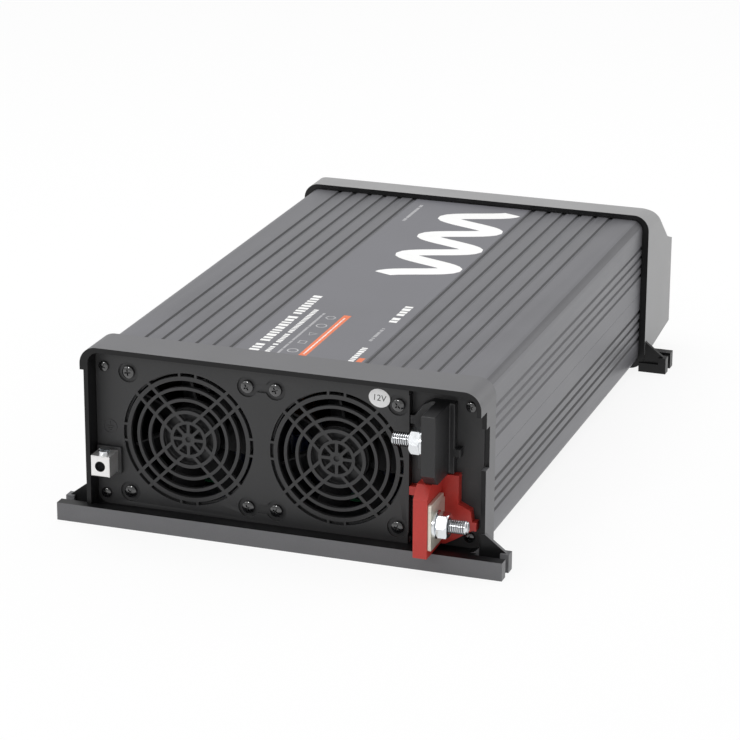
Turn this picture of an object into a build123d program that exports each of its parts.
from build123d import *
import os
from math import cos, radians, sin

# A 12 V mains inverter in a two-part aluminium extrusion with a moulded cap on each end.
# X runs across the case, Y from the fan end (-Y) to the outlet end (+Y), Z up.
# The origin lies on the floor under the middle of the case. Millimetres.

os.makedirs("parts", exist_ok=True)

# ---------------------------------------------------------------- driving sizes
body_width = 226.4          # extrusion, side to side
body_height = 96.6          # extrusion, underside to top
body_corner = 6.5
body_wall = 2.5
floor_gap = 4.4             # floor to the extrusion's underside
visible_length = 332.0      # extrusion seen between the two caps

cap_side = 4.3              # how far a cap stands proud of the extrusion
cap_top = 3.4
cap_overlap = 6.7           # extrusion end hidden inside each cap
cap_fit = 0.2               # clearance of a cap over the extrusion
cap_skin = 4.9              # side wall of the caps
rim_skin = 2.6              # wall at the hood's edge and beside the terminals
front_cap_depth = 27.2      # hood edge to the cap's rear edge
rear_rim_depth = 17.9
nose_depth = 46.4           # outlet housing behind the rear rim
hood_depth = 10.5           # hood ahead of the fan panel
bar_overhang = 4.5          # foot bar ahead of the hood

foot_span = 264.0           # overall width across the feet
foot_bar_height = 10.5
foot_bar_depth = 6.5
foot_slot = 6.0
foot_lug_depth = 6.5
foot_plate = 6.0            # thickness of the slotted base plate

groove_count = 6            # top grooves on each side of the label
groove_first = 40.5
groove_pitch = 10.35
groove_width = 3.2          # at the surface
groove_depth = 1.0
groove_slope = 51.0         # angle of a groove's sides from the surface
side_groove_first = 12.3    # from the seam
side_groove_pitch = 6.1
side_groove_count = 4
side_groove_width = 2.6

panel_thickness = 2.5
fan_size = 80.0
fan_depth = 25.0
fan_pitch = 88.24
fan_screw_span = 71.5
fan_shift = -12.75          # middle between the fans, left of the case's middle
bay_depth = 5.5             # terminal bay floor behind the fan panel
terminal_reach = 25.0       # terminal blocks ahead of the fan panel
terminal_x = 90.3           # line that the two terminals are turned about

stud_radius = 4.0           # M8
nut_across = 13.0
nut_height = 6.5
washer_radius = 8.0
washer_thickness = 1.6
stud_free = 10.5            # thread left beyond the nut

stud_drop = 23.3            # studs above and below the terminals' middle
bar_thickness = 2.0
bar_height = 27.0
bar_tail = 20.0             # height of the terminal bar behind the bay

socket_pitch = 54.0
board_thickness = 1.6
standoff_height = 8.0

running_gap = 0.06          # radial, shafts and pins that turn or slide
screw_gap = 0.05            # radial, screws in their holes
part_gap = 0.3              # faces of pieces that move past each other

# ---------------------------------------------------------------- places worked out
total_length = (
    terminal_reach - hood_depth + front_cap_depth + visible_length + rear_rim_depth + nose_depth
)
panel_y = terminal_reach - total_length / 2
hood_y = panel_y - hood_depth
front_y = hood_y - bar_overhang
cap_rear_y = hood_y + front_cap_depth
case_front_y = cap_rear_y - cap_overlap
rim_y = cap_rear_y + visible_length
rim_back_y = rim_y + rear_rim_depth
nose_y = rim_back_y + nose_depth
case_rear_y = rim_y + cap_overlap
case_length = case_rear_y - case_front_y

bottom_z = floor_gap
top_z = floor_gap + body_height
mid_z = floor_gap + body_height / 2
half_width = body_width / 2
inner_x = half_width - body_wall
inner_floor_z = bottom_z + body_wall

cap_half = half_width + cap_side
cap_top_z = top_z + cap_top
cap_bottom_z = bottom_z - 3.1
cap_corner = body_corner + cap_side - 0.8
cap_height = cap_top_z - cap_bottom_z
cap_mid_z = (cap_top_z + cap_bottom_z) / 2

terminal_z = mid_z - 0.5    # middle between the two terminals

recess_half = cap_half - cap_skin
bay_half = cap_half - rim_skin
recess_floor_z = 8.0
recess_top_z = cap_top_z - 2.9
recess_height = recess_top_z - recess_floor_z
recess_mid_z = (recess_top_z + recess_floor_z) / 2
recess_corner = 6.5
ear_z = mid_z + 38.0
bay_left_x = fan_shift + fan_pitch / 2 + fan_size / 2 + 1.8

boss_x = inner_x - 3.5
boss_z = 38.0
boss_radius = 4.2
boss_hole = 1.5
case_screw_places = [(x, mid_z + z) for x in (-boss_x, boss_x) for z in (-boss_z, boss_z)]
fan_centres = [fan_shift - fan_pitch / 2, fan_shift + fan_pitch / 2]
fan_names = ["left", "right"]
slab_thickness = 8.0
slab_inner = 2.0            # a block's contact face from the line between the terminals
bar_inset = {1: 0.0, -1: bar_thickness}     # the upper bar is let into its block


def bar_middle(side):
    """Bar's middle from the line between the terminals."""
    return slab_inner + bar_thickness / 2 - bar_inset[side]


def hardware_seat(side):
    """Outer face of the bar, where its washer bears."""
    return slab_inner + bar_thickness - bar_inset[side]


def across(y):
    """Plane at this depth facing the fan end, with X to the right and Z up."""
    return Plane(origin=(0, y, 0), x_dir=(1, 0, 0), z_dir=(0, -1, 0))


def lengthwise(x):
    """Plane at this X facing the +X side, with Y to the right and Z up."""
    return Plane(origin=(x, 0, 0), x_dir=(0, 1, 0), z_dir=(1, 0, 0))


def finish(builder, name):
    builder.part.label = name
    export_step(builder.part, f"parts/{name}.step")


# ---------------------------------------------------------------- case extrusions
groove_places = [groove_first + groove_pitch * n for n in range(groove_count)]
side_groove_places = [side_groove_first + side_groove_pitch * n for n in range(side_groove_count)]
tongue_width = 1.4
tongue_height = 4.0


def case_half(direction):
    """Section of one half: direction is 1 for the upper half and -1 for the lower one."""
    with Locations((0, mid_z)):
        RectangleRounded(body_width, body_height, body_corner)
        inner_corner = body_corner - body_wall
        RectangleRounded(2 * inner_x, body_height - 2 * body_wall, inner_corner, mode=Mode.SUBTRACT)
    outer_z = mid_z + direction * (body_height / 2 - groove_depth / 2)
    with Locations(*[(side * x, outer_z) for side in (-1, 1) for x in groove_places]):
        Trapezoid(
            groove_width, groove_depth, groove_slope, rotation=90 + 90 * direction, mode=Mode.SUBTRACT
        )
    groove_x = half_width - groove_depth / 2
    for side in (-1, 1):
        with Locations(*[(side * groove_x, mid_z + direction * z) for z in side_groove_places]):
            Trapezoid(
                side_groove_width, groove_depth, groove_slope, rotation=90 * side, mode=Mode.SUBTRACT
            )
    with Locations((-boss_x, mid_z + direction * boss_z), (boss_x, mid_z + direction * boss_z)):
        Circle(boss_radius)
        Circle(boss_hole, mode=Mode.SUBTRACT)
    with Locations((0, mid_z + direction * body_height / 2)):
        Rectangle(body_width + 2, body_height, mode=Mode.INTERSECT)


with BuildPart() as case_top:
    with BuildSketch(across(case_rear_y)):
        case_half(1)
    extrude(amount=case_length)
finish(case_top, "case_top")

with BuildPart() as case_bottom:
    with BuildSketch(across(case_rear_y)):
        case_half(-1)
        tongue_x = inner_x - tongue_width / 2 - cap_fit
        with Locations((-tongue_x, mid_z), (tongue_x, mid_z)):
            Rectangle(tongue_width, 2 * tongue_height)
        root_x = inner_x - (tongue_width + cap_fit) / 2
        with Locations((-root_x, mid_z - tongue_height / 2), (root_x, mid_z - tongue_height / 2)):
            Rectangle(tongue_width + cap_fit, tongue_height)
    extrude(amount=case_length)
finish(case_bottom, "case_bottom")

# ---------------------------------------------------------------- front end cap
opening_half = 101.0
opening_height = 83.0
foot_reach = foot_span / 2
foot_depth = foot_bar_depth + foot_slot + foot_lug_depth
slot_root_x = cap_half + 3.5
gusset_thickness = 2.5
gusset_rise = 20.0          # height of the gusset's tip on the cap's side


def foot_blank(side, bar_y, inward):
    """Solid of one foot: bar_y is the bar's outer face, inward is 1 towards +Y and -1 towards -Y."""
    plate_inner = cap_half - 3.5
    lug_inner = foot_reach - 5.0
    middle_y = bar_y + inward * foot_depth / 2
    lug_y = bar_y + inward * (foot_depth - foot_lug_depth / 2)
    with BuildPart() as blank:
        with Locations((side * (plate_inner + foot_reach) / 2, middle_y, foot_plate / 2)):
            Box(foot_reach - plate_inner, foot_depth, foot_plate)
        with Locations((side * (lug_inner + foot_reach) / 2, lug_y, foot_bar_height / 2)):
            Box(foot_reach - lug_inner, foot_lug_depth, foot_bar_height)
        with BuildSketch(across(lug_y + gusset_thickness / 2)):
            with BuildLine():
                Polyline(
                    (side * (cap_half - 3), foot_plate - 1),
                    (side * (foot_reach - 2), foot_plate - 1),
                    (side * (foot_reach - 2), foot_bar_height),
                    (side * cap_half, gusset_rise),
                    (side * (cap_half - 3), gusset_rise),
                    close=True,
                )
            make_face()
        extrude(amount=gusset_thickness)
    return blank.part


def cut_foot_slot(side, bar_y, inward):
    """U-shaped slot, open at the foot's outer end."""
    slot_y = bar_y + inward * (foot_bar_depth + foot_slot / 2)
    with Locations((side * (slot_root_x + foot_reach + 10) / 2, slot_y, foot_plate / 2)):
        Box(foot_reach + 10 - slot_root_x, foot_slot, foot_plate + 2, mode=Mode.SUBTRACT)
    with Locations((side * slot_root_x, slot_y, foot_plate / 2)):
        Cylinder(foot_slot / 2, foot_plate + 2, mode=Mode.SUBTRACT)


front_feet = [foot_blank(side, front_y, 1) for side in (-1, 1)]

with BuildPart() as front_end_cap:
    with BuildSketch(across(cap_rear_y)):
        with Locations((0, cap_mid_z)):
            RectangleRounded(2 * cap_half, cap_height, cap_corner)
    extrude(amount=cap_rear_y - panel_y)
    with BuildSketch(across(panel_y)):
        with Locations((0, cap_mid_z)):
            RectangleRounded(2 * cap_half, cap_height, cap_corner)
        with Locations((0, ear_z + cap_height / 2)):
            Rectangle(2 * cap_half, cap_height, mode=Mode.INTERSECT)
    extrude(amount=hood_depth)
    # lower front: floor slab
    with Locations((0, (front_y + panel_y) / 2, recess_floor_z / 2)):
        Box(2 * recess_half, panel_y - front_y, recess_floor_z)
    # thin wall beside the earth terminal, set in from the hood's ear
    with Locations((-recess_half - rim_skin / 2, (hood_y + panel_y) / 2, (foot_plate + ear_z) / 2)):
        Box(rim_skin, panel_y - hood_y, ear_z - foot_plate + 4)
    # pocket that takes the fan panel, its deeper step at the terminal bay and the passage behind
    with BuildSketch(across(panel_y + panel_thickness)):
        with Locations((0, recess_mid_z)):
            RectangleRounded(2 * recess_half, recess_height, recess_corner)
    extrude(amount=hood_depth + panel_thickness, mode=Mode.SUBTRACT)
    with BuildSketch(across(panel_y + bay_depth + panel_thickness)):
        with Locations((0, recess_mid_z)):
            RectangleRounded(2 * bay_half, recess_height, recess_corner)
        with Locations((bay_left_x + bay_half, recess_mid_z)):
            Rectangle(2 * bay_half, recess_height, mode=Mode.INTERSECT)
    extrude(amount=hood_depth + bay_depth + panel_thickness, mode=Mode.SUBTRACT)
    with BuildSketch(across(cap_rear_y)):
        with Locations((0, mid_z)):
            RectangleRounded(2 * opening_half, opening_height, 6)
    extrude(amount=front_cap_depth, mode=Mode.SUBTRACT)
    with BuildSketch(across(cap_rear_y)):
        with Locations((0, mid_z)):
            RectangleRounded(body_width + 2 * cap_fit, body_height + 2 * cap_fit, body_corner + cap_fit)
    extrude(amount=cap_overlap, mode=Mode.SUBTRACT)
    with BuildSketch(across(cap_rear_y)):
        with Locations(*case_screw_places):
            Circle(boss_hole + 0.4)
    extrude(amount=front_cap_depth, mode=Mode.SUBTRACT)
    # cable cut-back in the side wall beside the terminals
    with Locations((cap_half, panel_y + 2, mid_z + 16)):
        Box(14, 8, 24, mode=Mode.SUBTRACT)
    # foot bar and feet
    with Locations((0, front_y + foot_bar_depth / 2, foot_bar_height / 2)):
        Box(foot_span, foot_bar_depth, foot_bar_height)
    add(front_feet)
    for side in (-1, 1):
        cut_foot_slot(side, front_y, 1)
finish(front_end_cap, "front_end_cap")

# ---------------------------------------------------------------- fan panel with grilles
grille_bars = [(34.8, 37.2), (29.2, 31.0), (22.4, 24.2), (15.2, 17.2), (9.0, 10.8), (2.0, 4.0)]
grille_outer = 39.2
spoke_width = 1.8
spoke_offset = 4.9
tie_width = 1.4
screw_recess = 6.0
recess_step = 1.2
screw_places = [
    (centre + dx * fan_screw_span / 2, mid_z + dz * fan_screw_span / 2)
    for centre in fan_centres
    for dx in (-1, 1)
    for dz in (-1, 1)
]


panel_shrink = 0.15         # fan panel inside its pocket
panel_half = recess_half - panel_shrink
panel_height = recess_height - 2 * panel_shrink
panel_corner = recess_corner - panel_shrink
with BuildPart() as fan_panel:
    with BuildSketch(across(panel_y + panel_thickness)):
        with Locations((0, recess_mid_z)):
            RectangleRounded(2 * panel_half, panel_height, panel_corner)
        with Locations((bay_left_x - recess_half, recess_mid_z)):
            Rectangle(2 * recess_half, recess_height, mode=Mode.INTERSECT)
    extrude(amount=panel_thickness)
    with BuildSketch(across(panel_y + bay_depth + panel_thickness)):
        with Locations((0, recess_mid_z)):
            RectangleRounded(2 * (bay_half - panel_shrink), panel_height, panel_corner)
        with Locations((bay_left_x + panel_shrink + bay_half, recess_mid_z)):
            Rectangle(2 * bay_half, recess_height, mode=Mode.INTERSECT)
    extrude(amount=panel_thickness)
    # step wall between the fan field and the bay
    with Locations((bay_left_x - 0.6, panel_y + (bay_depth + panel_thickness) / 2, recess_mid_z)):
        Box(1.9, bay_depth + panel_thickness, recess_height - 2 * recess_corner)
    for centre in fan_centres:
        outer = grille_outer
        for low, high in grille_bars:
            with BuildSketch(across(panel_y + panel_thickness)):
                with Locations((centre, mid_z)):
                    Circle(outer)
                    Circle(high, mode=Mode.SUBTRACT)
                    if low > 30:
                        for turn in range(0, 360, 90):
                            for step in (-1, 1):
                                with PolarLocations(0, 1, turn):
                                    with Locations((outer - 2, step * spoke_offset)):
                                        Rectangle(12, tie_width, mode=Mode.SUBTRACT)
                    if low > 8:
                        for turn in range(45, 405, 90):
                            for step in (-1, 1):
                                with PolarLocations(0, 1, turn):
                                    with Locations((20, step * spoke_offset)):
                                        Rectangle(40, spoke_width, mode=Mode.SUBTRACT)
                    if low < 4:
                        for turn in range(0, 360, 45):
                            with PolarLocations(0, 1, turn):
                                with Locations((6.5, 0)):
                                    Rectangle(9, tie_width + 0.4, mode=Mode.SUBTRACT)
            extrude(amount=panel_thickness, mode=Mode.SUBTRACT)
            outer = low
    # recessed seats for the fan screws, the middle pairs joined by a channel
    with BuildSketch(across(panel_y + recess_step)):
        with Locations(*screw_places):
            Circle(screw_recess)
        with Locations(*[(fan_shift, mid_z + z * fan_screw_span / 2) for z in (-1, 1)]):
            Rectangle(fan_pitch - fan_screw_span, 5.0)
    extrude(amount=recess_step + 1, mode=Mode.SUBTRACT)
    with BuildSketch(across(panel_y + bay_depth + panel_thickness + 1)):
        with Locations(*screw_places):
            Circle(2.2)
        with Locations(*case_screw_places):
            Circle(boss_hole + 0.4)
    extrude(amount=bay_depth + panel_thickness + 2, mode=Mode.SUBTRACT)
    # passages for the two terminal bars through the bay's back
    bay_back = panel_y + bay_depth + panel_thickness / 2
    bar_passages = [
        (terminal_x + side * bar_middle(side), bay_back, terminal_z - side * stud_drop) for side in (-1, 1)
    ]
    with Locations(*bar_passages):
        Box(bar_thickness + 2 * part_gap, panel_thickness + 2, bar_tail + 2 * part_gap, mode=Mode.SUBTRACT)
finish(fan_panel, "fan_panel")

# ---------------------------------------------------------------- fans
fan_front = panel_y + panel_thickness
fan_back = fan_front + fan_depth
fan_bore = 38.2
base_disc = 2.5
hub_radius = 17.5
hub_wall = 1.5
hub_front = fan_front + 2.0
shaft_radius = 1.5
bearing_outer = 4.5
bearing_front = hub_front + 5.0
shaft_end = fan_back - base_disc - 1.0
stator_radius = 13.5
blade_count = 7
blade_tip = 35.2
blade_pitch = 38.0
blade_middle = fan_front + fan_depth / 2
blade_stations = [(hub_radius - 0.8, 17.0, blade_pitch + 8), (blade_tip, 23.0, blade_pitch)]

for name, centre in zip(fan_names, fan_centres):
    with BuildPart() as fan_frame:
        with BuildSketch(across(fan_back)):
            with Locations((centre, mid_z)):
                RectangleRounded(fan_size, fan_size, 4)
                Circle(fan_bore, mode=Mode.SUBTRACT)
                with GridLocations(fan_screw_span, fan_screw_span, 2, 2):
                    Circle(2.15, mode=Mode.SUBTRACT)
        extrude(amount=fan_depth)
        with BuildSketch(across(fan_back)):
            with Locations((centre, mid_z)):
                Circle(hub_radius - 0.5)
                for turn in (20, 110, 200, 290):
                    with PolarLocations(0, 1, turn):
                        with Locations((27.5, 0)):
                            Rectangle(24, 4)
        extrude(amount=base_disc)
        with BuildSketch(across(fan_back)):
            with Locations((centre, mid_z)):
                Circle(bearing_outer)
        extrude(amount=fan_back - bearing_front)
        with BuildSketch(across(fan_back - base_disc)):
            with Locations((centre, mid_z)):
                Circle(shaft_radius + running_gap)
        extrude(amount=fan_depth, mode=Mode.SUBTRACT)
    finish(fan_frame, f"fan_{name}_frame")

    with BuildPart() as fan_stator:
        with BuildSketch(across(fan_back - base_disc - 2)):
            with Locations((centre, mid_z)):
                Circle(stator_radius)
                Circle(bearing_outer + screw_gap, mode=Mode.SUBTRACT)
                with PolarLocations(9.8, 4, 45):
                    Circle(2.4, mode=Mode.SUBTRACT)
                with PolarLocations(stator_radius, 4, 45):
                    Rectangle(6, 2, mode=Mode.SUBTRACT)
        extrude(amount=11)
    finish(fan_stator, f"fan_{name}_stator")

    blades = []
    for n in range(blade_count):
        turn = 360 / blade_count * n
        radial = (cos(radians(turn)), 0, sin(radians(turn)))
        with BuildPart() as blade:
            for reach, chord, pitch in blade_stations:
                pitch_angle = radians(pitch)
                tangent = (-radial[2], 0, radial[0])
                chordwise = (
                    tangent[0] * sin(pitch_angle),
                    cos(pitch_angle),
                    tangent[2] * sin(pitch_angle),
                )
                section = Plane(
                    origin=(centre + radial[0] * reach, blade_middle, mid_z + radial[2] * reach),
                    x_dir=chordwise,
                    z_dir=radial,
                )
                with BuildSketch(section):
                    Rectangle(chord, 1.3)
            loft(ruled=True)
        blades.append(blade.part)
    with BuildPart() as fan_rotor:
        hub_plane = across(hub_front)
        with BuildSketch(hub_plane):
            with Locations((centre, mid_z)):
                Circle(hub_radius)
        extrude(amount=-(fan_back - base_disc - 1.5 - hub_front))
        with BuildSketch(across(hub_front + hub_wall)):
            with Locations((centre, mid_z)):
                Circle(hub_radius - hub_wall)
        extrude(amount=-fan_depth, mode=Mode.SUBTRACT)
        with BuildSketch(hub_plane):
            with Locations((centre, mid_z)):
                Circle(shaft_radius)
        extrude(amount=-(shaft_end - hub_front))
        with BuildSketch(across(hub_front + hub_wall)):
            with Locations((centre, mid_z)):
                Circle(shaft_radius + 1.2)
        extrude(amount=-(bearing_front - hub_front - hub_wall - part_gap))
        add(blades)
    finish(fan_rotor, f"fan_{name}_rotor")


def cross_recess(head_radius):
    """Sketch of the cross that a screwdriver turns."""
    Rectangle(head_radius * 1.15, 0.9)
    Rectangle(0.9, head_radius * 1.15)


def screws(places, seat_y, head_radius, head_height, shank_radius, shank_length, towards):
    """Group of pan-head screws along Y; towards is 1 when the tips point to +Y."""
    with BuildPart() as group:
        with BuildSketch(across(seat_y)):
            with Locations(*places):
                Circle(head_radius)
        extrude(amount=towards * head_height, taper=8)
        with BuildSketch(across(seat_y)):
            with Locations(*places):
                Circle(shank_radius)
        extrude(amount=-towards * shank_length)
        with BuildSketch(across(seat_y - towards * (head_height - 1.3))):
            with Locations(*places):
                cross_recess(head_radius)
        extrude(amount=towards * 3, mode=Mode.SUBTRACT)
    return group


fan_screws = screws(screw_places, panel_y + recess_step, 3.7, 2.4, 2.15 - screw_gap, 14.0, 1)
finish(fan_screws, "fan_screws")

left_places = [place for place in case_screw_places if place[0] < 0]
right_places = [place for place in case_screw_places if place[0] > 0]
boss_grip = 9.0
left_screws = screws(
    left_places, panel_y, 3.0, 2.0, boss_hole - screw_gap, case_front_y + boss_grip - panel_y, 1
)
right_screws = screws(
    right_places,
    panel_y + bay_depth,
    3.0,
    2.0,
    boss_hole - screw_gap,
    case_front_y + boss_grip - panel_y - bay_depth,
    1,
)
with BuildPart() as front_cap_screws:
    add(left_screws.part)
    add(right_screws.part)
finish(front_cap_screws, "front_cap_screws")

# ---------------------------------------------------------------- DC terminals
stud_y = panel_y - terminal_reach + 9.0
slab_drop = 41.0
slab_top = 7.0
slope_run = 6.6
bar_front = panel_y - terminal_reach + 1.0


def terminal_block(side, reach, tab_reach):
    """Insulator of one terminal. side is 1 for the lower one, whose stud points to +X, and -1 for the
    upper one, which is turned half a turn. The reaches are how far its flange and its tab spread."""
    with BuildPart() as block:
        with BuildSketch(across(panel_y + bay_depth)):
            with BuildLine():
                outline = [
                    (-9.0, -part_gap),
                    (11.8, -part_gap),
                    (11.8, -17.0),
                    (reach - 3.5, -20.0),
                    (reach - 2.5, -26.5),
                    (reach, -26.5),
                    (reach, -31.5),
                    (reach - 2.5, -31.5),
                    (9.4, -38.2),
                    (4.3, -slab_drop),
                    (-9.0, -slab_drop),
                    (-9.0, -15.0),
                    (-tab_reach, -15.0),
                    (-tab_reach, -10.0),
                    (-9.0, -10.0),
                ]
                Polyline(*[(terminal_x + side * x, terminal_z + side * z) for x, z in outline], close=True)
            make_face()
        extrude(amount=bay_depth)
        with BuildSketch(lengthwise(terminal_x + side * (slab_inner - slab_thickness / 2))):
            with BuildLine():
                front = panel_y - terminal_reach
                profile = [
                    (panel_y + 1, -part_gap),
                    (front + slope_run, -part_gap),
                    (front, -slab_top),
                    (front, -slab_drop),
                    (panel_y + 1, -slab_drop),
                ]
                Polyline(*[(y, terminal_z + side * z) for y, z in profile], close=True)
            make_face()
        extrude(amount=slab_thickness / 2, both=True)
        with Locations((terminal_x + side * bar_middle(side), panel_y, terminal_z - side * stud_drop)):
            Box(
                bar_thickness + 2 * screw_gap,
                4 * bay_depth,
                bar_tail + 2 * screw_gap,
                mode=Mode.SUBTRACT,
            )
        if bar_inset[side]:
            pocket_front = bar_front - screw_gap
            pocket_middle = (terminal_x + side * bar_middle(side), (pocket_front + panel_y) / 2)
            with Locations((*pocket_middle, terminal_z - side * stud_drop)):
                Box(
                    bar_thickness + 2 * screw_gap,
                    panel_y - pocket_front,
                    bar_height + 2 * screw_gap,
                    mode=Mode.SUBTRACT,
                )
        with Locations((terminal_x + side * slab_inner, stud_y, terminal_z - side * stud_drop)):
            Cylinder(stud_radius + screw_gap, 12, rotation=(0, 90, 0), mode=Mode.SUBTRACT)
    return block


positive_block = terminal_block(1, bay_half - terminal_x - 2.4, 16.6)
fillet(positive_block.edges().filter_by(Axis.Z).group_by(Axis.Y)[0], 0.7)
finish(positive_block, "positive_terminal_block")
negative_block = terminal_block(-1, terminal_x - bay_left_x - 0.8, 12.5)
fillet(negative_block.edges().filter_by(Axis.Z).group_by(Axis.Y)[0], 0.7)
finish(negative_block, "negative_terminal_block")

board_z = inner_floor_z + standoff_height
board_top = board_z + board_thickness
bar_tail_y = panel_y + 52.0
terminals = [("positive", 1, bar_tail_y), ("negative", -1, bar_tail_y + 14)]
for name, side, tail_y in terminals:
    stud_z = terminal_z - side * stud_drop
    bar_x = terminal_x + side * bar_middle(side)
    with BuildPart() as bar:
        with BuildSketch(lengthwise(bar_x)):
            with Locations(((bar_front + panel_y) / 2 - 1, stud_z)):
                RectangleRounded(panel_y - bar_front - 2, bar_height, 1.5)
            with Locations(((panel_y + tail_y) / 2 - 2, stud_z)):
                Rectangle(tail_y - panel_y + 4, bar_tail)
            with Locations((tail_y - 5, (stud_z + board_top) / 2)):
                Rectangle(10, stud_z - board_top)
            with Locations((stud_y, stud_z)):
                Circle(stud_radius + screw_gap, mode=Mode.SUBTRACT)
        extrude(amount=bar_thickness / 2, both=True)
    finish(bar, f"{name}_terminal_bar")

# identical washers, nuts and studs on both bars, stacked outwards from each bar's face
hardware = [(side, terminal_z - side * stud_drop) for side in (1, -1)]
with BuildPart() as terminal_washers:
    for side, stud_z in hardware:
        washer_x = terminal_x + side * hardware_seat(side)
        with BuildSketch(Plane(origin=(washer_x, stud_y, stud_z), z_dir=(side, 0, 0))):
            Circle(washer_radius)
            Circle(stud_radius + 0.3, mode=Mode.SUBTRACT)
        extrude(amount=washer_thickness)
finish(terminal_washers, "terminal_washers")

with BuildPart() as terminal_nuts:
    for side, stud_z in hardware:
        seat_origin = (terminal_x + side * (hardware_seat(side) + washer_thickness), stud_y, stud_z)
        seat = Plane(origin=seat_origin, x_dir=(0, 1, 0), z_dir=(side, 0, 0))
        with BuildSketch(seat):
            RegularPolygon(nut_across / 2, 6, major_radius=False)
            Circle(stud_radius + screw_gap, mode=Mode.SUBTRACT)
        extrude(amount=nut_height)
finish(terminal_nuts, "terminal_nuts")

stud_root = slab_inner - 5.5
with BuildPart() as terminal_studs:
    for side, stud_z in hardware:
        with BuildSketch(Plane(origin=(terminal_x + side * stud_root, stud_y, stud_z), z_dir=(side, 0, 0))):
            Circle(stud_radius)
        extrude(amount=hardware_seat(side) + washer_thickness + nut_height + stud_free - stud_root)
    tips = terminal_studs.edges().filter_by(GeomType.CIRCLE).sort_by(Axis.X)
    chamfer([tips[0], tips[-1]], 0.6)
finish(terminal_studs, "terminal_studs")

# ---------------------------------------------------------------- earth terminal
earth_x = fan_shift - 91.8
earth_z = mid_z - 17.0
earth_reach = 15.0
earth_base_depth = 2.5
earth_bore = 3.1
with BuildPart() as earth_base:
    with Locations((earth_x, panel_y - earth_base_depth / 2, earth_z)):
        Box(15.2, earth_base_depth, 16.0)
    fillet(earth_base.edges().filter_by(Axis.Y), 1.0)
finish(earth_base, "earth_terminal_base")

block_front = panel_y - earth_reach
with BuildPart() as earth_block:
    with Locations((earth_x, (block_front + panel_y - earth_base_depth) / 2, earth_z)):
        Box(11.3, earth_reach - earth_base_depth, 12.2)
    with BuildSketch(across(block_front)):
        with Locations((earth_x, earth_z)):
            Circle(earth_bore)
    extrude(amount=-10.0, mode=Mode.SUBTRACT)
    with Locations((earth_x, block_front + 6.0, earth_z + 6.0)):
        Cylinder(2.0 + screw_gap, 9.0, mode=Mode.SUBTRACT)
    chamfer(earth_block.faces().sort_by(Axis.Y)[0].outer_wire().edges(), 0.5)
finish(earth_block, "earth_terminal_block")

with BuildPart() as earth_screw:
    with BuildSketch(Plane.XY.offset(earth_z + earth_bore + 0.1)):
        with Locations((earth_x, block_front + 6.0)):
            Circle(2.0)
    extrude(amount=3.0)
    with BuildSketch(Plane.XY.offset(earth_z + 6.1)):
        with Locations((earth_x, block_front + 6.0)):
            Circle(3.2)
    extrude(amount=1.8)
    with Locations((earth_x, block_front + 6.0, earth_z + 7.9)):
        Box(7, 0.9, 1.6, mode=Mode.SUBTRACT)
finish(earth_screw, "earth_terminal_screw")

# ---------------------------------------------------------------- labels
with BuildPart() as rating_sticker:
    with BuildSketch(across(panel_y)):
        with Locations((fan_shift + 69.0, mid_z + 38.6)):
            Ellipse(6.2, 5.3, rotation=-12)
    extrude(amount=0.2)
finish(rating_sticker, "rating_sticker")

label_thickness = 0.25
label_margin = 1.0
with BuildPart() as top_label:
    with BuildSketch(Plane.XY.offset(top_z)):
        with Locations((0, (cap_rear_y + rim_y) / 2)):
            RectangleRounded(2 * groove_first - groove_width - 1.2, visible_length - 2 * label_margin, 1)
    extrude(amount=label_thickness)
finish(top_label, "top_label")

# ---------------------------------------------------------------- rear end cap
nose_wall = 3.2
nose_top_z = 73.0
nose_bottom_z = 15.5
ledge_z = 77.2
slope_end_y = nose_y - 12.5
rear_face_depth = 7.0
panel_inset = 5.0
ac_panel_half = cap_half - 9.7
ac_panel_height = nose_top_z - nose_bottom_z - 5.0
ac_panel_z = (nose_top_z + nose_bottom_z) / 2
ac_opening_half = 100.0
ac_opening_height = 46.0
shoulder = 3.0
vent_count = 17
vent_pitch = 11.5
vent_width = 5.5
outlet_screw_radius = 1.4
outlet_screw_places = [(x, ac_panel_z + z) for x in (-104, 104) for z in (-17, 17)]
vent_places = [vent_pitch * (n - (vent_count - 1) / 2) for n in range(vent_count)]


def nose_profile(inset):
    """Side outline of the rear cap, inset on every side by the same wall."""
    start = rim_y - 10
    rise = inset * 0.8
    return [
        (start, cap_bottom_z - 20 + inset),
        (rim_back_y - 1.5, cap_bottom_z - 20 + inset),
        (rim_back_y - 1.5 + inset / 2, 10.6 + inset),
        (nose_y - inset, nose_bottom_z + inset),
        (nose_y - inset, nose_top_z - inset),
        (slope_end_y - rise, ledge_z - inset),
        (rim_back_y + 10.3 - rise, 96.2 - inset),
        (rim_back_y + 4.5 - rise, 101.6 - inset),
        (rim_back_y - inset, cap_top_z + 0.2 - inset),
        (rim_back_y - inset, cap_top_z + 10),
        (start, cap_top_z + 10),
    ]


def nose_solid(inset):
    with BuildPart() as shape:
        with BuildSketch(across(nose_y - inset)):
            with Locations((0, cap_mid_z)):
                RectangleRounded(2 * (cap_half - inset), cap_height - 2 * inset, cap_corner - inset)
        extrude(amount=nose_y - inset - rim_y)
        with BuildSketch(lengthwise(0)):
            with BuildLine():
                Polyline(*nose_profile(inset), close=True)
            make_face()
        extrude(amount=cap_half + 5, both=True, mode=Mode.INTERSECT)
    return shape.part


outer_nose = nose_solid(0)
inner_nose = nose_solid(nose_wall)
with BuildPart() as inner_cut:
    add(inner_nose)
    with Locations((0, case_rear_y + shoulder - 100, mid_z)):
        Box(300, 200, 300, mode=Mode.SUBTRACT)
    with Locations((0, nose_y - rear_face_depth + 100, mid_z)):
        Box(300, 200, 300, mode=Mode.SUBTRACT)
rear_feet = [foot_blank(side, rim_back_y, -1) for side in (-1, 1)]

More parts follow.
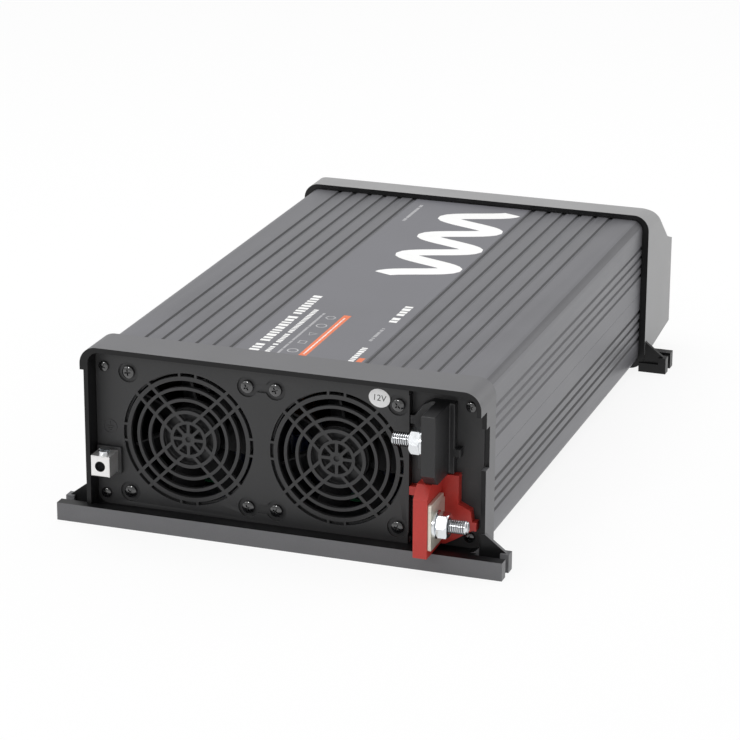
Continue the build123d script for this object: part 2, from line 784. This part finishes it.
with BuildPart() as rear_end_cap:
    add(outer_nose)
    add(inner_cut.part, mode=Mode.SUBTRACT)
    with BuildSketch(across(rim_y)):
        with Locations((0, mid_z)):
            RectangleRounded(body_width + 2 * cap_fit, body_height + 2 * cap_fit, body_corner + cap_fit)
    extrude(amount=-cap_overlap, mode=Mode.SUBTRACT)
    with BuildSketch(across(rim_y)):
        with Locations((0, mid_z)):
            RectangleRounded(2 * opening_half, opening_height, 6)
    extrude(amount=-(cap_overlap + shoulder + 1), mode=Mode.SUBTRACT)
    with BuildSketch(across(rim_y)):
        with Locations(*case_screw_places):
            Circle(boss_hole + 0.4)
    extrude(amount=-(cap_overlap + shoulder + 1), mode=Mode.SUBTRACT)
    # seat and opening for the outlet panel
    with BuildSketch(across(nose_y)):
        with Locations((0, ac_panel_z)):
            RectangleRounded(2 * ac_panel_half, ac_panel_height, 4)
    extrude(amount=panel_inset, mode=Mode.SUBTRACT)
    with BuildSketch(across(nose_y)):
        with Locations((0, ac_panel_z)):
            RectangleRounded(2 * ac_opening_half, ac_opening_height, 4)
    extrude(amount=rear_face_depth + 5, mode=Mode.SUBTRACT)
    with BuildSketch(across(nose_y)):
        with Locations(*outlet_screw_places):
            Circle(outlet_screw_radius + screw_gap)
    extrude(amount=rear_face_depth + 1, mode=Mode.SUBTRACT)
    # exhaust slots in the sloping face
    vent_front = rim_back_y + 13.0
    vent_back = slope_end_y - 3.0
    with Locations(*[(x, (vent_front + vent_back) / 2, 90) for x in vent_places]):
        Box(vent_width, vent_back - vent_front, 40, mode=Mode.SUBTRACT)
    # foot bar and feet
    with Locations((0, rim_back_y - foot_bar_depth / 2, foot_bar_height / 2)):
        Box(foot_span, foot_bar_depth, foot_bar_height)
    add(rear_feet)
    for side in (-1, 1):
        cut_foot_slot(side, rim_back_y, -1)
finish(rear_end_cap, "rear_end_cap")

rear_cap_screws = screws(
    case_screw_places, case_rear_y + shoulder, 3.0, 2.0, boss_hole - screw_gap, shoulder + boss_grip, -1
)
finish(rear_cap_screws, "rear_cap_screws")

# ---------------------------------------------------------------- outlet panel
ac_face_y = nose_y - panel_inset + 2.0
ac_back_y = nose_y - panel_inset
socket_xs = [-68.0, -68.0 + socket_pitch]
socket_bezel = 24.0
socket_body = 21.5
socket_well = 19.5
socket_depth = 17.5
socket_front = nose_y - 0.5
socket_floor = socket_front - socket_depth
pin_spacing = 19.0
pin_hole = 3.2
pin_bore = 2.5
switch_x = 36.0
breaker_x = 64.0
remote_x = 86.0
remote_z = ac_panel_z - 9.0
light_xs = [80.0, 92.0]
light_z = ac_panel_z + 12.0
light_radius = 2.5

with BuildPart() as ac_panel:
    with BuildSketch(across(ac_face_y)):
        with Locations((0, ac_panel_z)):
            RectangleRounded(2 * (ac_panel_half - panel_shrink), ac_panel_height - 2 * panel_shrink, 3.8)
        with Locations(*[(x, ac_panel_z) for x in socket_xs]):
            Circle(socket_body + panel_shrink, mode=Mode.SUBTRACT)
        with Locations((switch_x, ac_panel_z)):
            Rectangle(20.4, 27.4, mode=Mode.SUBTRACT)
        with Locations((breaker_x, ac_panel_z)):
            Circle(5.6, mode=Mode.SUBTRACT)
        with Locations((remote_x, remote_z)):
            Rectangle(14.3, 13.3, mode=Mode.SUBTRACT)
        with Locations(*[(x, light_z) for x in light_xs]):
            Circle(light_radius + screw_gap, mode=Mode.SUBTRACT)
        with Locations(*outlet_screw_places):
            Circle(outlet_screw_radius + part_gap, mode=Mode.SUBTRACT)
    extrude(amount=ac_face_y - ac_back_y)
finish(ac_panel, "outlet_panel")

outlet_panel_screws = screws(outlet_screw_places, ac_face_y, 2.7, 1.8, outlet_screw_radius, 7.0, -1)
finish(outlet_panel_screws, "outlet_panel_screws")

for n, x in enumerate(socket_xs, start=1):
    with BuildPart() as socket:
        with BuildSketch(across(socket_front)):
            with Locations((x, ac_panel_z)):
                Circle(socket_bezel)
        extrude(amount=socket_front - ac_face_y)
        with BuildSketch(across(ac_face_y)):
            with Locations((x, ac_panel_z)):
                Circle(socket_body)
        extrude(amount=ac_face_y - socket_floor + 14)
        fillet(socket.edges().group_by(Axis.Y)[-1], 1.2)
        with BuildSketch(across(socket_front)):
            with Locations((x, ac_panel_z)):
                Circle(socket_well)
        extrude(amount=socket_depth, mode=Mode.SUBTRACT)
        with BuildSketch(across(socket_floor)):
            with Locations((x, ac_panel_z)):
                with GridLocations(pin_spacing, 0, 2, 1):
                    Circle(pin_hole)
        extrude(amount=12.5, mode=Mode.SUBTRACT)
    finish(socket, f"socket_{n}")

with BuildPart() as socket_contacts:
    with BuildSketch(across(socket_floor - 0.5)):
        with Locations(*[(x, ac_panel_z) for x in socket_xs]):
            with GridLocations(pin_spacing, 0, 2, 1):
                Circle(pin_hole - screw_gap)
                Circle(pin_bore, mode=Mode.SUBTRACT)
    extrude(amount=12.0)
finish(socket_contacts, "socket_contacts")

with BuildPart() as socket_earth_clips:
    clip_places = [(x, socket_floor + 6.0, ac_panel_z + z) for x in socket_xs for z in (-18.0, 18.0)]
    with Locations(*clip_places):
        Box(5.0, 12.0, 2.0)
finish(socket_earth_clips, "socket_earth_clips")

# ---------------------------------------------------------------- power switch
switch_pivot_y = nose_y - 7.5
switch_tilt = 9.0
pivot_radius = 1.5
rocker_half = 8.2
with BuildPart() as switch_body:
    with Locations((switch_x, ac_face_y + 1.0, ac_panel_z)):
        Box(24, 2, 31)
    with Locations((switch_x, ac_face_y - 9.0, ac_panel_z)):
        Box(20, 18, 27)
    fillet(switch_body.edges().filter_by(Axis.Y).group_by(Axis.Y)[-1], 1.5)
    with Locations((switch_x, ac_face_y - 5.0, ac_panel_z)):
        Box(17, 20, 24, mode=Mode.SUBTRACT)
    with Locations((switch_x, switch_pivot_y, ac_panel_z)):
        Cylinder(pivot_radius + running_gap, 19.2, rotation=(0, 90, 0), mode=Mode.SUBTRACT)
finish(switch_body, "power_switch_body")

rocker_outline = [(5.0, -11.0), (3.4, 0), (5.0, 11.0), (-1.0, 10.4), (-5.0, 3.0), (-5.0, -3.0), (-1.0, -10.4)]
tilt = radians(-switch_tilt)
with BuildPart() as rocker:
    with BuildSketch(lengthwise(switch_x - rocker_half)):
        with BuildLine():
            Polyline(
                *[
                    (
                        switch_pivot_y + y * cos(tilt) - z * sin(tilt),
                        ac_panel_z + y * sin(tilt) + z * cos(tilt),
                    )
                    for y, z in rocker_outline
                ],
                close=True,
            )
        make_face()
    extrude(amount=2 * rocker_half)
    with Locations((switch_x, switch_pivot_y, ac_panel_z)):
        Cylinder(pivot_radius, 18.6, rotation=(0, 90, 0))
finish(rocker, "power_rocker")

# ---------------------------------------------------------------- breaker, remote socket and lights
button_radius = 3.2
button_travel = 2.5
button_length = 14.0
with BuildPart() as breaker_body:
    with BuildSketch(across(ac_face_y + 2.5)):
        with Locations((breaker_x, ac_panel_z)):
            Circle(5.5)
    extrude(amount=2.5 + ac_face_y - ac_back_y)
    with Locations((breaker_x, ac_back_y - 14, ac_panel_z)):
        Box(14, 28, 24)
    with BuildSketch(across(ac_face_y + 3)):
        with Locations((breaker_x, ac_panel_z)):
            Circle(button_radius + running_gap)
    extrude(amount=ac_face_y + 3 - nose_y + button_length + button_travel + 2 * part_gap, mode=Mode.SUBTRACT)
finish(breaker_body, "breaker_body")

with BuildPart() as breaker_nut:
    with BuildSketch(across(ac_face_y + 2.0)):
        with Locations((breaker_x, ac_panel_z)):
            RegularPolygon(8.0, 6, major_radius=False)
            Circle(5.5 + screw_gap, mode=Mode.SUBTRACT)
    extrude(amount=2.0)
finish(breaker_nut, "breaker_nut")

with BuildPart() as breaker_button:
    with BuildSketch(across(nose_y - 0.2)):
        with Locations((breaker_x, ac_panel_z)):
            Circle(button_radius)
    extrude(amount=button_length)
    fillet(breaker_button.edges().group_by(Axis.Y)[-1], 0.6)
finish(breaker_button, "breaker_button")

with BuildPart() as remote_port:
    with Locations((remote_x, ac_face_y - 8.0, remote_z)):
        Box(14.0, 16.0, 13.0)
    with Locations((remote_x, ac_face_y - 6.0, remote_z)):
        Box(9.8, 12.2, 7.0, mode=Mode.SUBTRACT)
    with Locations((remote_x, ac_face_y - 6.0, remote_z - 4.0)):
        Box(4.0, 12.2, 2.4, mode=Mode.SUBTRACT)
finish(remote_port, "remote_port")

with BuildPart() as status_lights:
    with BuildSketch(across(ac_face_y + 1.5)):
        with Locations(*[(x, light_z) for x in light_xs]):
            Circle(light_radius)
    extrude(amount=8.0)
    fillet(status_lights.edges().group_by(Axis.Y)[-1], 1.2)
finish(status_lights, "status_lights")

# ---------------------------------------------------------------- main board and what stands on it
board_front_y = fan_back + 6.0
board_rear_y = case_rear_y - 12.0
board_half = 98.0
standoff_x = 73.5
board_length = board_rear_y - board_front_y
board_middle_y = (board_front_y + board_rear_y) / 2
standoff_ys = [board_front_y + 10 + (board_length - 20) * n / 3 for n in range(4)]
standoff_places = [(x, y) for x in (-standoff_x, standoff_x) for y in standoff_ys]

with BuildPart() as main_board:
    with BuildSketch(Plane.XY.offset(board_z)):
        with Locations((0, board_middle_y)):
            RectangleRounded(2 * board_half, board_length, 2)
        with Locations(*standoff_places):
            Circle(1.7, mode=Mode.SUBTRACT)
    extrude(amount=board_thickness)
finish(main_board, "main_board")

with BuildPart() as board_standoffs:
    with BuildSketch(Plane.XY.offset(inner_floor_z)):
        with Locations(*standoff_places):
            RegularPolygon(3.0, 6, major_radius=False)
            Circle(1.55, mode=Mode.SUBTRACT)
    extrude(amount=standoff_height)
finish(board_standoffs, "board_standoffs")

with BuildPart() as board_screws:
    with BuildSketch(Plane.XY.offset(board_top)):
        with Locations(*standoff_places):
            Circle(3.0)
    extrude(amount=1.8, taper=8)
    with BuildSketch(Plane.XY.offset(board_top)):
        with Locations(*standoff_places):
            Circle(1.5)
    extrude(amount=-(board_thickness + 5.0))
    with BuildSketch(Plane.XY.offset(board_top + 0.8)):
        with Locations(*standoff_places):
            cross_recess(3.0)
    extrude(amount=2, mode=Mode.SUBTRACT)
finish(board_screws, "board_screws")

sink_face = 83.0            # faces that the transistors are clamped to, from the middle
sink_base = 4.0
sink_fin = 7.0
sink_height = 44.0
sink_front_y = board_front_y + 62.0
sink_rear_y = board_rear_y - 24.0
sink_fins = 6
for name, side in (("left", -1), ("right", 1)):
    with BuildPart() as heatsink:
        with BuildSketch(across(sink_rear_y)):
            with Locations((side * (sink_face + sink_base / 2), board_top + sink_height / 2)):
                Rectangle(sink_base, sink_height)
            fin_step = (sink_height - 2.0) / (sink_fins - 1)
            fin_x = side * (sink_face + sink_base + sink_fin / 2)
            with Locations(*[(fin_x, board_top + 1.0 + fin_step * n) for n in range(sink_fins)]):
                Rectangle(sink_fin + 0.2, 2.0)
        extrude(amount=sink_rear_y - sink_front_y)
    finish(heatsink, f"heatsink_{name}")

device_width = 15.9
device_depth = 5.0
device_height = 21.0
device_pitch = 18.5
leg_length = 6.0
device_ys = [sink_front_y + 12 + device_pitch * n for n in range(10)]


def devices(places):
    """Group of three-legged power devices against the heatsinks."""
    with BuildPart() as group:
        for side, y in places:
            x = side * (sink_face - device_depth / 2)
            with Locations((x, y, board_top + leg_length + device_height / 2)):
                Box(device_depth, device_width, device_height)
            with Locations(*[(x, y + dy, board_top + leg_length / 2) for dy in (-5.4, 0, 5.4)]):
                Box(0.8, 1.4, leg_length)
            with Locations((x, y, board_top + leg_length + device_height - 5)):
                Cylinder(1.8, device_depth + 1, rotation=(0, 90, 0), mode=Mode.SUBTRACT)
    return group


input_transistors = devices([(side, y) for side in (-1, 1) for y in device_ys[:6]])
finish(input_transistors, "input_transistors")
rectifier_diodes = devices([(-1, y) for y in device_ys[6:]])
finish(rectifier_diodes, "rectifier_diodes")
output_transistors = devices([(1, y) for y in device_ys[6:]])
finish(output_transistors, "output_transistors")

# transformers: bobbin, winding and a pair of E cores each
core_width = 55.0
core_depth = 21.0
core_height = 55.0
leg_width = 17.2
core_yoke = 9.4
bobbin_base = 3.0
winding_wall = 10.0
transformer_places = [(x, sink_front_y + 30 + y) for x in (-34, 34) for y in (0, 46)]
core_bottom = board_top + bobbin_base
with BuildPart() as transformer_cores:
    for x, y in transformer_places:
        with Locations((x, y, core_bottom + core_height / 2)):
            Box(core_width, core_depth, core_height)
        window = (core_width - leg_width - 2 * core_yoke) / 2
        window_x = (leg_width + window) / 2
        with Locations(*[(x + side * window_x, y, core_bottom + core_height / 2) for side in (-1, 1)]):
            Box(window, core_depth + 1, core_height - 2 * core_yoke, mode=Mode.SUBTRACT)
finish(transformer_cores, "transformer_cores")

winding_height = core_height - 2 * core_yoke - 2 * part_gap
with BuildPart() as transformer_windings:
    with BuildSketch(Plane.XY.offset(core_bottom + core_yoke + part_gap)):
        with Locations(*transformer_places):
            RectangleRounded(leg_width + 2 * window - 2 * part_gap, core_depth + 2 * winding_wall, 7)
            Rectangle(leg_width + 2 * part_gap, core_depth + 2 * part_gap, mode=Mode.SUBTRACT)
    extrude(amount=winding_height)
finish(transformer_windings, "transformer_windings")

with BuildPart() as transformer_bases:
    with BuildSketch(Plane.XY.offset(board_top)):
        with Locations(*transformer_places):
            RectangleRounded(core_width - 6, core_depth + 2 * winding_wall, 2)
    extrude(amount=bobbin_base)
finish(transformer_bases, "transformer_bases")

with BuildPart() as input_capacitors:
    with BuildSketch(Plane.XY.offset(board_top)):
        with Locations((0, board_front_y + 25.75)):
            with GridLocations(17.5, 19.5, 8, 2):
                Circle(8.0)
    extrude(amount=31.0)
    fillet(input_capacitors.edges().group_by(Axis.Z)[-1], 0.8)
finish(input_capacitors, "input_capacitors")

with BuildPart() as input_fuses:
    for n in range(10):
        fuse_x = (n - 4.5) * 15.0
        with Locations((fuse_x, board_front_y + 51, board_top + 4 + 5)):
            Box(4.0, 14.0, 10.0)
        with Locations(*[(fuse_x, board_front_y + 51 + dy, board_top + 2.0) for dy in (-5, 5)]):
            Box(0.8, 3.4, 4.0)
finish(input_fuses, "input_fuses")

store_y = sink_front_y + 128.0
with BuildPart() as bus_capacitors:
    with BuildSketch(Plane.XY.offset(board_top)):
        with Locations(*[(x, store_y) for x in (-40, 0, 40)]):
            Circle(17.5)
    extrude(amount=50.0)
    fillet(bus_capacitors.edges().group_by(Axis.Z)[-1], 1.5)
finish(bus_capacitors, "bus_capacitors")

choke_y = store_y + 44.0
choke_x = -38.0
choke_outer = 25.0
choke_hole = 9.0
choke_height = 22.0
with BuildPart() as filter_choke:
    with BuildSketch(Plane.XY.offset(board_top)):
        with Locations((choke_x, choke_y)):
            Circle(choke_outer)
            Circle(choke_hole, mode=Mode.SUBTRACT)
            with PolarLocations(choke_outer, 36):
                Circle(0.9, mode=Mode.SUBTRACT)
    extrude(amount=choke_height)
finish(filter_choke, "filter_choke")

with BuildPart() as film_capacitors:
    with Locations(*[(x, choke_y, board_top + 13) for x in (6, 26)]):
        Box(15, 32, 26)
    fillet(film_capacitors.edges().filter_by(Axis.Z), 1.0)
finish(film_capacitors, "film_capacitors")

with BuildPart() as output_relay:
    with Locations((55, choke_y, board_top + 13)):
        Box(28, 30, 26)
    fillet(output_relay.edges().filter_by(Axis.Z), 1.0)
finish(output_relay, "output_relay")

control_y = board_rear_y - 12.0
header_height = 6.0
with BuildPart() as board_header:
    with Locations((0, control_y, board_top + header_height / 2)):
        Box(84, 6, header_height)
    with Locations((0, control_y, board_top + header_height)):
        Box(81, board_thickness + 2 * screw_gap, 8, mode=Mode.SUBTRACT)
finish(board_header, "board_header")

with BuildPart() as control_board:
    with Locations((0, control_y, board_top + 2 + 21)):
        Box(80, board_thickness, 42)
finish(control_board, "control_board")

# mains leads from the board to the back of each socket, held at both ends
lead_radius = 1.3
socket_back = socket_floor - 14
with BuildPart() as mains_leads:
    for x in socket_xs:
        for dx, dz in ((-6, 4), (6, 4)):
            start = (x + dx, board_rear_y - 5, board_top)
            with BuildLine() as route:
                FilletPolyline(
                    start,
                    (start[0], start[1], ac_panel_z + dz),
                    (start[0], socket_back, ac_panel_z + dz),
                    radius=8.0,
                )
            with BuildSketch(Plane(origin=start, z_dir=(0, 0, 1))):
                Circle(lead_radius)
            sweep(path=route.line)
finish(mains_leads, "mains_leads")
